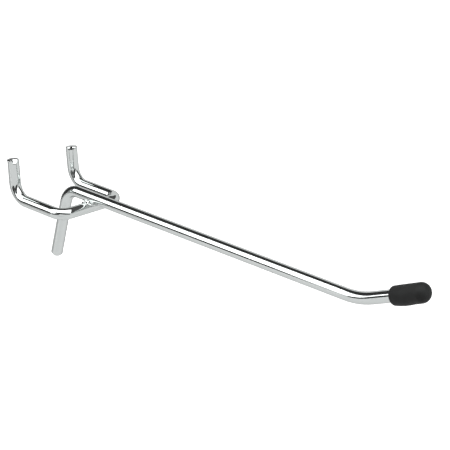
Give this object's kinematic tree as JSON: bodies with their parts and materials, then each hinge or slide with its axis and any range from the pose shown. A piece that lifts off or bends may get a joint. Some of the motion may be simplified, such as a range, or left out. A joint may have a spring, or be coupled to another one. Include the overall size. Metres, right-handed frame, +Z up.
{
  "type": "pegboard hook",
  "caption": "Long straight wire hook for a perforated board: a rising arm with an upturned capped tip and a bracing leg, welded on a bent wire whose upturned prongs catch behind the board",
  "frame": {"origin": "on the board's front face, midway between the two pegs, where the pegs' centrelines meet that face", "axes": "+X along the row of holes, +Y through the board to its back, so the arm runs out along -Y, +Z up"},
  "size_m": [0.0294, 0.1721, 0.0819],
  "materials": {
    "plated_wire": "bright plating over drawn steel wire",
    "plated_weld": "bright plating over uneven weld metal",
    "cap_rubber": "matte black dipped rubber"
  },
  "bodies": {
    "root": {"hook_wire": "plated_wire", "peg_wire": "plated_wire", "weld": "plated_weld", "tip_cap": "cap_rubber"}
  },
  "joints": []
}
